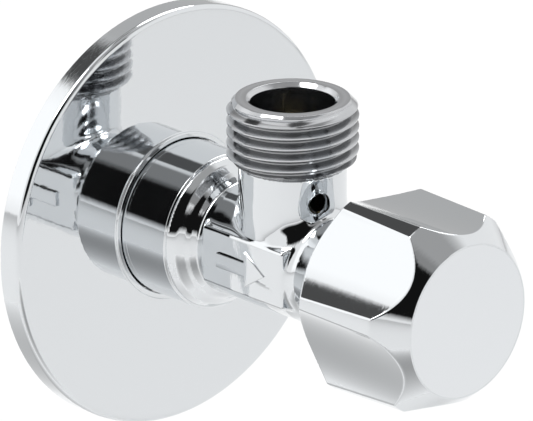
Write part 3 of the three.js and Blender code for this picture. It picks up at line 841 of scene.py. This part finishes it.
# the turned collar and the wall spigot
inletLook = {
    "boreRadius": 5.0, "threadFrom": 2.9, "endRadius": 8.6, "endChamfer": 1.7,
    "neckRadius": 8.9, "around": 192,
}


def buildCollar():
    look = inletLook
    wallFace = 0.9
    collar = [
        (look["boreRadius"], collarFront, 0.05), (collarRadius - 0.28, collarFront, 0.05),
        (collarRadius, collarFront + 0.28, 0.22), (collarRadius, -wallFace - 0.4, 0.3),
        (collarRadius - 0.4, -wallFace, 0.2), (8.0, -wallFace, 0.05), (look["boreRadius"], -wallFace, 0.05)]
    piece = turnedPiece("collarRing", collar, mirrorChrome, 256)
    return standsFor(piece, "fixed_body", "polished_chrome")


def buildInlet():
    look = inletLook
    start, end = look["threadFrom"], inletEnd
    slope = (threadLook["crestRadius"] - look["endRadius"]) / look["endChamfer"]
    bore = look["boreRadius"]
    closing = [
        (look["endRadius"] + 0.08, end - 0.08, 0), (look["endRadius"], end, 0.06), (bore + 0.5, end, 0.1),
        (bore, end - 0.5, 0.1), (bore, -0.85, 0.05), (look["neckRadius"], -0.85, 0.05),
        (look["neckRadius"], start - 0.1, 0.05), (look["neckRadius"] + 0.05, start, 0)]
    piece = threadedEnd(
        "inletThread", inletSteel, look["around"], closing, From=start, To=end - 0.08,
        Start_Radius=look["neckRadius"] + 0.05, Start_Slope=1.2, End_Radius=look["endRadius"] + 0.08,
        End_Slope=slope)
    piece.data.transform(Matrix.Rotation(math.radians(-90), 4, "X"))
    return standsFor(piece, "fixed_body", "polished_chrome")


buildCollar()
buildInlet()


# the wall disc
discLook = {
    "front": -4.1, "wall": 1.2, "edgeRound": 0.95, "beadWidth": 0.95, "beadHeight": 0.42, "holeGap": 0.14,
    "around": 320,
}


def buildEscutcheon():
    look = discLook
    rim, front = discHigh[0], look["front"]
    inside = front + look["wall"]
    hole = collarRadius + look["holeGap"]
    bead = front - look["beadHeight"]
    groove = hole + 1.6
    outline = [
        (rim, 0, 0.12), (rim, front, look["edgeRound"]), (hole + look["beadWidth"], front, 0.2),
        (hole + look["beadWidth"] - 0.1, bead, 0.34), (hole, bead, 0.34), (hole, front, 0.05),
        (hole, inside - 0.2, 0.05), (groove, inside - 0.2, 0.1), (groove, -1.4, 0.1), (hole, -1.4, 0.05),
        (hole, -0.9, 0.1), (groove + 1.2, -0.9, 0.15), (groove + 1.2, inside, 0.3),
        (rim - look["wall"], inside, 0.5), (rim - look["wall"], 0, 0.12)]
    piece = turnedPiece("wallDisc", outline, discChrome, look["around"], steps=7)
    return standsFor(piece, "rosette", "polished_chrome", "escutcheon")


discChrome = chromeMaterial("discChrome", ripple=0.0, haze=0.08, roughness=0.03)
buildEscutcheon()


# the knob and its cap
knobLook = {
    "frontRadius": 12.5, "landRadius": 16.6, "rearLandRadius": 17.1, "rearRadius": 13.3, "coneLength": 5.0,
    "rearCone": 3.5, "midFace": 13.8, "faceHalfAngle": 25.2, "phase": 6.5, "edgeSoft": 0.24,
    "cavityRadius": 10.5, "cavityEnd": -60.8, "frontEdge": 0.32, "coneEdge": 0.5, "rowStep": 0.22,
}
capLook = {"radius": 12.3, "recess": 12.3, "edge": 0.02}


# adds points along the straight runs outside a radius so that no run is longer than step
def refineOutline(points, normals, step, beyond):
    newPoints, newNormals = [], []
    count = len(points)
    for i in range(count):
        j = (i + 1) % count
        parts = max(1, int(math.ceil(np.linalg.norm(points[j] - points[i]) / step)))
        if min(points[i][0], points[j][0]) < beyond:
            parts = 1
        for k in range(parts):
            t = k / parts
            normal = normals[i] * (1 - t) + normals[j] * t
            newPoints.append(points[i] * (1 - t) + points[j] * t)
            newNormals.append(normal / np.linalg.norm(normal))
    return np.array(newPoints), np.array(newNormals)


def buildKnob():
    look = knobLook
    front, back = knobLow[1], knobHigh[1]
    insertLow, insertHigh = boxOf("handle_insert")
    screwHigh = boxOf("handle_screw")[1]
    insertRoom = max(insertHigh[0], insertHigh[2]) + 0.4
    recessEnd = capHigh[1] + 0.05
    outline = [
        (look["cavityRadius"], look["cavityEnd"], 0.4), (look["cavityRadius"], back, 0.25),
        (look["rearRadius"], back, 0.3),
        (look["rearLandRadius"], back - look["rearCone"], look["coneEdge"]),
        (look["landRadius"], front + look["coneLength"], look["coneEdge"]),
        (look["frontRadius"] + 0.02, front, look["frontEdge"]), (capLook["recess"], front, 0.02),
        (capLook["recess"], recessEnd, 0.05), (screwHigh[0] + 0.3, recessEnd, 0.1),
        (screwHigh[0] + 0.3, insertLow[1] - 1.5, 0.05), (1.6, insertLow[1] - 1.5, 0.05),
        (1.6, insertLow[1] - 0.3, 0.05), (insertRoom, insertLow[1] - 0.3, 0.1),
        (insertRoom, look["cavityEnd"], 0.1)]
    profile, outward = roundedOutline(outline, 6)
    area = signedArea(profile)
    outward = outward if area > 0 else -outward
    rowStep = look["rowStep"]
    profile, outward = refineOutline(profile, outward, rowStep, look["cavityRadius"] + 0.01)
    half = math.radians(look["faceHalfAngle"])
    chord = look["landRadius"] * math.sin(half)
    hollow = look["landRadius"] * math.cos(half) - look["midFace"]
    flute = (chord ** 2 + hollow ** 2) / (2 * hollow)
    axisAt = look["midFace"] + flute
    fine = 0.4
    steps = np.concatenate([np.arange(0, 20, 2), np.arange(20, 30, fine)])
    sector = np.concatenate([-steps[:0:-1], steps])
    sector = np.concatenate([[-30], sector])
    angles, offset = [], []
    for i in range(6):
        angles += list(np.radians(60 * i + 90 - look["phase"] + sector))
        offset += list(np.radians(sector))
    angles, offset = np.array(angles), np.array(offset)
    across = len(angles)
    reach = np.sqrt(np.maximum(flute ** 2 - (axisAt * np.sin(offset)) ** 2, 0.01))
    fluteAt = axisAt * np.cos(offset) - reach
    faceNormal = angles - offset
    centre = np.stack([axisAt * np.cos(faceNormal), axisAt * np.sin(faceNormal)], 1)
    k = look["edgeSoft"]
    points, normals = [], []
    for (r, y), (nr, ny) in zip(profile, outward):
        share = np.clip(0.5 + 0.5 * (fluteAt - r) / k, 0, 1)
        radius = fluteAt + (r - fluteAt) * share - k * share * (1 - share)
        outer = r > look["cavityRadius"] + 0.01 and nr > 1e-3
        share = share if outer else np.ones(across)
        radius = radius if outer else np.full(across, r)
        radial = np.stack([np.cos(angles), np.zeros(across), np.sin(angles)], 1)
        spot = radial * radius[:, None]
        spot[:, 1] = y
        own = radial * nr
        own[:, 1] = ny
        if outer:
            toward = np.stack([centre[:, 0] - spot[:, 0], np.zeros(across), centre[:, 1] - spot[:, 2]], 1)
            toward /= np.linalg.norm(toward, axis=1)[:, None]
            lean = np.maximum((toward * radial).sum(1), 0.05)
            own = own / nr * share[:, None] + toward / lean[:, None] * (1 - share)[:, None]
        own /= np.linalg.norm(own, axis=1)[:, None]
        points.append(spot)
        normals.append(own)
    rows = len(profile)
    faces = []
    for i in range(rows):
        j = (i + 1) % rows
        for a in range(across):
            b = (a + 1) % across
            face = (i * across + a, j * across + a, j * across + b, i * across + b)
            faces.append(face if area > 0 else face[::-1])
    piece = makeObject("knobShell", np.vstack(points), faces, np.vstack(normals), knobChrome)
    print("knob:", len(faces), "quads")
    return standsFor(piece, "handle_unit", "polished_chrome", "handle")


def buildCap():
    front, back = capLow[1], capHigh[1]
    radius = capLook["radius"]
    rear = back - 0.02
    outline = [(0, rear, 0.05), (radius, rear, 0.1), (radius, front, capLook["edge"]), (0, front, 0.05)]
    piece = turnedPiece("knobCap", outline, capChromePaintedLight, 256)
    return standsFor(piece, "handle_unit", "polished_chrome", "handle_cap")


# painted light: the cap's chrome is tinted lighter than the knob's so that the front face reads brighter
capChromePaintedLight = chromeMaterial("capChromePaintedLight", haze=0.1, roughness=0.05, tint=(0.79, 0.81, 0.83, 1))
buildKnob()
buildCap()


# round inner pieces, finer than the frame's
def radiiOf(node):
    co = np.array([v.co for v in nodes[node].data.vertices]) / mm
    axial = np.hypot(co[:, 0], co[:, 2])
    return axial.min(), axial.max(), co[:, 1].min(), co[:, 1].max()


def buildFlatRing(node, name, body, slotName, material, fillet=0.15):
    inner, outer, front, back = radiiOf(node)
    outline = [(inner, front, fillet), (outer, front, fillet), (outer, back, fillet), (inner, back, fillet)]
    return standsFor(turnedPiece(name, outline, material, 128), body, slotName, node)


def buildRoundRing(node, name, body, slotName, material):
    inner, outer, front, back = radiiOf(node)
    thick = (back - front) / 2
    middle, y = (inner + outer) / 2, (front + back) / 2
    corners = []
    for i in range(20):
        a = 2 * math.pi * i / 20
        corners.append((middle + thick * math.cos(a), y + thick * math.sin(a), 0.02))
    points, _, faces = turnedMesh(corners, 128, steps=1)
    return standsFor(makeObject(name, points, faces, None, material), body, slotName, node)


for row in (
    ("inlet_seal_ring", "inletSeal", "fixed_body", "white_plastic", whitePlastic),
    ("thrust_washer", "thrustWasher", "fixed_body", "white_plastic", whitePlastic),
    ("headpart_gasket", "headpartGasket", "fixed_body", "fibre_gasket", gasketFibre),
    ("seat_washer", "seatWasher", "closing_unit", "black_rubber", sealRubber),
    ("washer_retainer", "washerRetainer", "closing_unit", "bare_brass", turnedBrass),
):
    buildFlatRing(*row)
for row in (
    ("piston_o_ring", "pistonORing", "closing_unit", "black_rubber", sealRubber),
    ("spindle_o_ring_rear", "spindleORingRear", "handle_unit", "black_rubber", sealRubber),
    ("spindle_o_ring_front", "spindleORingFront", "handle_unit", "black_rubber", sealRubber),
    ("escutcheon_grip_ring", "discGripRing", "rosette_ring", "black_rubber", sealRubber),
):
    buildRoundRing(*row)

for node, slotName, material in (
    ("headpart_housing", "bare_brass", turnedBrass), ("closing_piston", "bare_brass", turnedBrass),
    ("washer_screw", "bare_brass", turnedBrass), ("spindle", "bare_brass", turnedBrass),
    ("spindle_circlip", "steel", springSteel), ("handle_insert", "white_plastic", whitePlastic),
    ("handle_screw", "steel", springSteel),
):
    nodes[node].data.materials.clear()
    nodes[node].data.materials.append(material)
    edges = nodes[node].modifiers.new("edges", "BEVEL")
    edges.width = 0.08 * mm
    edges.segments = 2
    edges.limit_method = "ANGLE"
    edges.angle_limit = math.radians(32)
print("inner pieces done")


# the studio
studio = {
    "floorDrop": 90.0, "floorTone": 0.9, "sky": 1.0, "lens": 520.4, "distance": 1.2140,
    "target": (-0.00555, -0.03036, 0.00921), "azimuth": -43.54, "elevation": 20.31,
}
# patches of the sky: azimuth and elevation of the middle, half widths, softness in degrees, tone
patches = [
    ("highGrey", -10, 70, 80, 18, 14, 0.42),
    ("farGrey", 140, 16, 30, 32, 14, 0.52),
    ("leftWhite", -142, 22, 30, 22, 12, 1.3),
    ("farDark", 172, 50.5, 34, 7, 1.2, 0.085),
    ("overDark", 130, 76, 30, 9, 4, 0.08),
    ("nearGrey", -14, 44, 13, 16, 3, 0.3),
    ("slimDark", 13, 45, 12, 9, 3, 0.12),
    ("slimWhite", 3, 47, 2.5, 9, 1.5, 0.95),
    ("nearDark", -52, 30, 27, 27, 6, 0.008),
]
# grey sheets under the object: middle x and y, height, radius, tone in the middle
lowShades = [
    ("shadeNear", -75, -140, -113, 105, 0.4),
    ("shadeFar", -50, 62, -112, 95, 0.55),
]


# azimuth counts from straight in front of the handle, negative to the left
def directionOf(azimuth, elevation):
    a, e = math.radians(azimuth), math.radians(elevation)
    return Vector((math.sin(a) * math.cos(e), -math.cos(a) * math.cos(e), math.sin(e)))


def buildFloor():
    size = 4.0
    z = discLow[2] * mm - studio["floorDrop"] * mm
    mesh = bpy.data.meshes.new("studioFloor")
    corners = [(-size, -size, z), (size, -size, z), (size, size, z), (-size, size, z)]
    mesh.from_pydata(corners, [], [(0, 1, 2, 3)])
    material, _, shader = startMaterial("studioFloor")
    tone = studio["floorTone"]
    shader.inputs["Base Color"].default_value = (tone, tone, tone, 1)
    shader.inputs["Roughness"].default_value = 0.9
    shader.inputs["Specular IOR Level"].default_value = 0.0
    addObject("studioFloor", mesh, material)


def buildSky():
    world = bpy.data.worlds.new("softSky")
    world.use_nodes = True
    tree = world.node_tree
    background = next(n for n in tree.nodes if n.type == "BACKGROUND")
    place = tree.nodes.new("ShaderNodeTexCoord").outputs["Generated"]
    parts = tree.nodes.new("ShaderNodeSeparateXYZ")
    link(tree, place, parts.inputs[0])
    x, y, z = parts.outputs
    azimuth = addMath(tree, "ARCTAN2", x, addMath(tree, "MULTIPLY", y, -1.0))
    elevation = addMath(tree, "ARCSINE", z)
    value = studio["sky"]
    for _, az, el, halfAz, halfEl, soft, tone in patches:
        off = addMath(tree, "SUBTRACT", azimuth, math.radians(az))
        wrapped = addMath(tree, "WRAP", off, math.pi, -math.pi)
        sideways = addMath(tree, "SUBTRACT", math.radians(halfAz), addMath(tree, "ABSOLUTE", wrapped))
        upward = addMath(tree, "SUBTRACT", math.radians(halfEl), addMath(
            tree, "ABSOLUTE", addMath(tree, "SUBTRACT", elevation, math.radians(el))))
        mask = 1.0
        for inner in (sideways, upward):
            edge = addMath(tree, "MULTIPLY_ADD", inner, 1 / math.radians(soft), 0.5, clamp=True)
            mask = edge if isinstance(mask, float) else addMath(tree, "MULTIPLY", mask, edge)
        kept = addMath(tree, "SUBTRACT", 1.0, mask)
        below = addMath(tree, "MULTIPLY", mask, tone)
        value = addMath(tree, "ADD", addMath(tree, "MULTIPLY", kept, value), below)
    link(tree, value, background.inputs["Color"])
    background.inputs["Strength"].default_value = 1.0
    bpy.context.scene.world = world


# puts an object at a distance from a point, facing it
def aimAt(holder, target, azimuth, elevation, distance):
    holder.location = target + directionOf(azimuth, elevation) * distance
    holder.rotation_euler = (target - holder.location).to_track_quat("-Z", "Y").to_euler()


def addLight(name, azimuth, elevation, distance, size, power):
    light = bpy.data.lights.new(name, "AREA")
    light.shape = "DISK"
    light.size = size
    light.energy = power
    aimAt(addObject(name, light), Vector((0, -0.03, 0.0)), azimuth, elevation, distance)


def buildCamera():
    camera = bpy.data.cameras.new("studioCamera")
    camera.lens = studio["lens"]
    camera.sensor_width = 36
    camera.dof.use_dof = False
    holder = addObject("studioCamera", camera)
    aimAt(holder, Vector(studio["target"]), studio["azimuth"], studio["elevation"], studio["distance"])
    bpy.context.scene.camera = holder


# a soft grey sheet under the object, seen in its polish only
def buildLowShade(name, x, y, z, radius, tone):
    rimTone = 1.05
    shade = addObject(name, bpy.data.meshes.new(name))
    around = 64
    ring = [(math.cos(2 * math.pi * k / around) * radius * mm,
             math.sin(2 * math.pi * k / around) * radius * mm, 0) for k in range(around)]
    shade.data.from_pydata(ring, [], [tuple(range(around))])
    shade.location = (x * mm, y * mm, z * mm)
    material = bpy.data.materials.new(name)
    material.use_nodes = True
    tree = material.node_tree
    tree.nodes.clear()
    parts = tree.nodes.new("ShaderNodeVectorMath")
    parts.operation = "LENGTH"
    link(tree, objectPlace(tree), parts.inputs[0])
    share = addMath(tree, "MULTIPLY", parts.outputs["Value"], 1 / (radius * mm), clamp=True)
    smooth = addMath(tree, "POWER", share, 2.0)
    strength = addMath(tree, "MULTIPLY_ADD", smooth, rimTone - tone, tone)
    glow = tree.nodes.new("ShaderNodeEmission")
    link(tree, strength, glow.inputs["Strength"])
    link(tree, glow.outputs[0], tree.nodes.new("ShaderNodeOutputMaterial").inputs["Surface"])
    shade.data.materials.append(material)
    shade.visible_camera = False
    shade.visible_diffuse = False
    shade.visible_shadow = False


buildFloor()
for lowShade in lowShades:
    buildLowShade(*lowShade)
buildSky()
addLight("softKey", -110, 62, 1.6, 0.8, 9)
addLight("softFill", 120, 50, 1.8, 0.9, 8)
buildCamera()
bpy.context.scene.view_settings.view_transform = "Standard"
print("studio done")
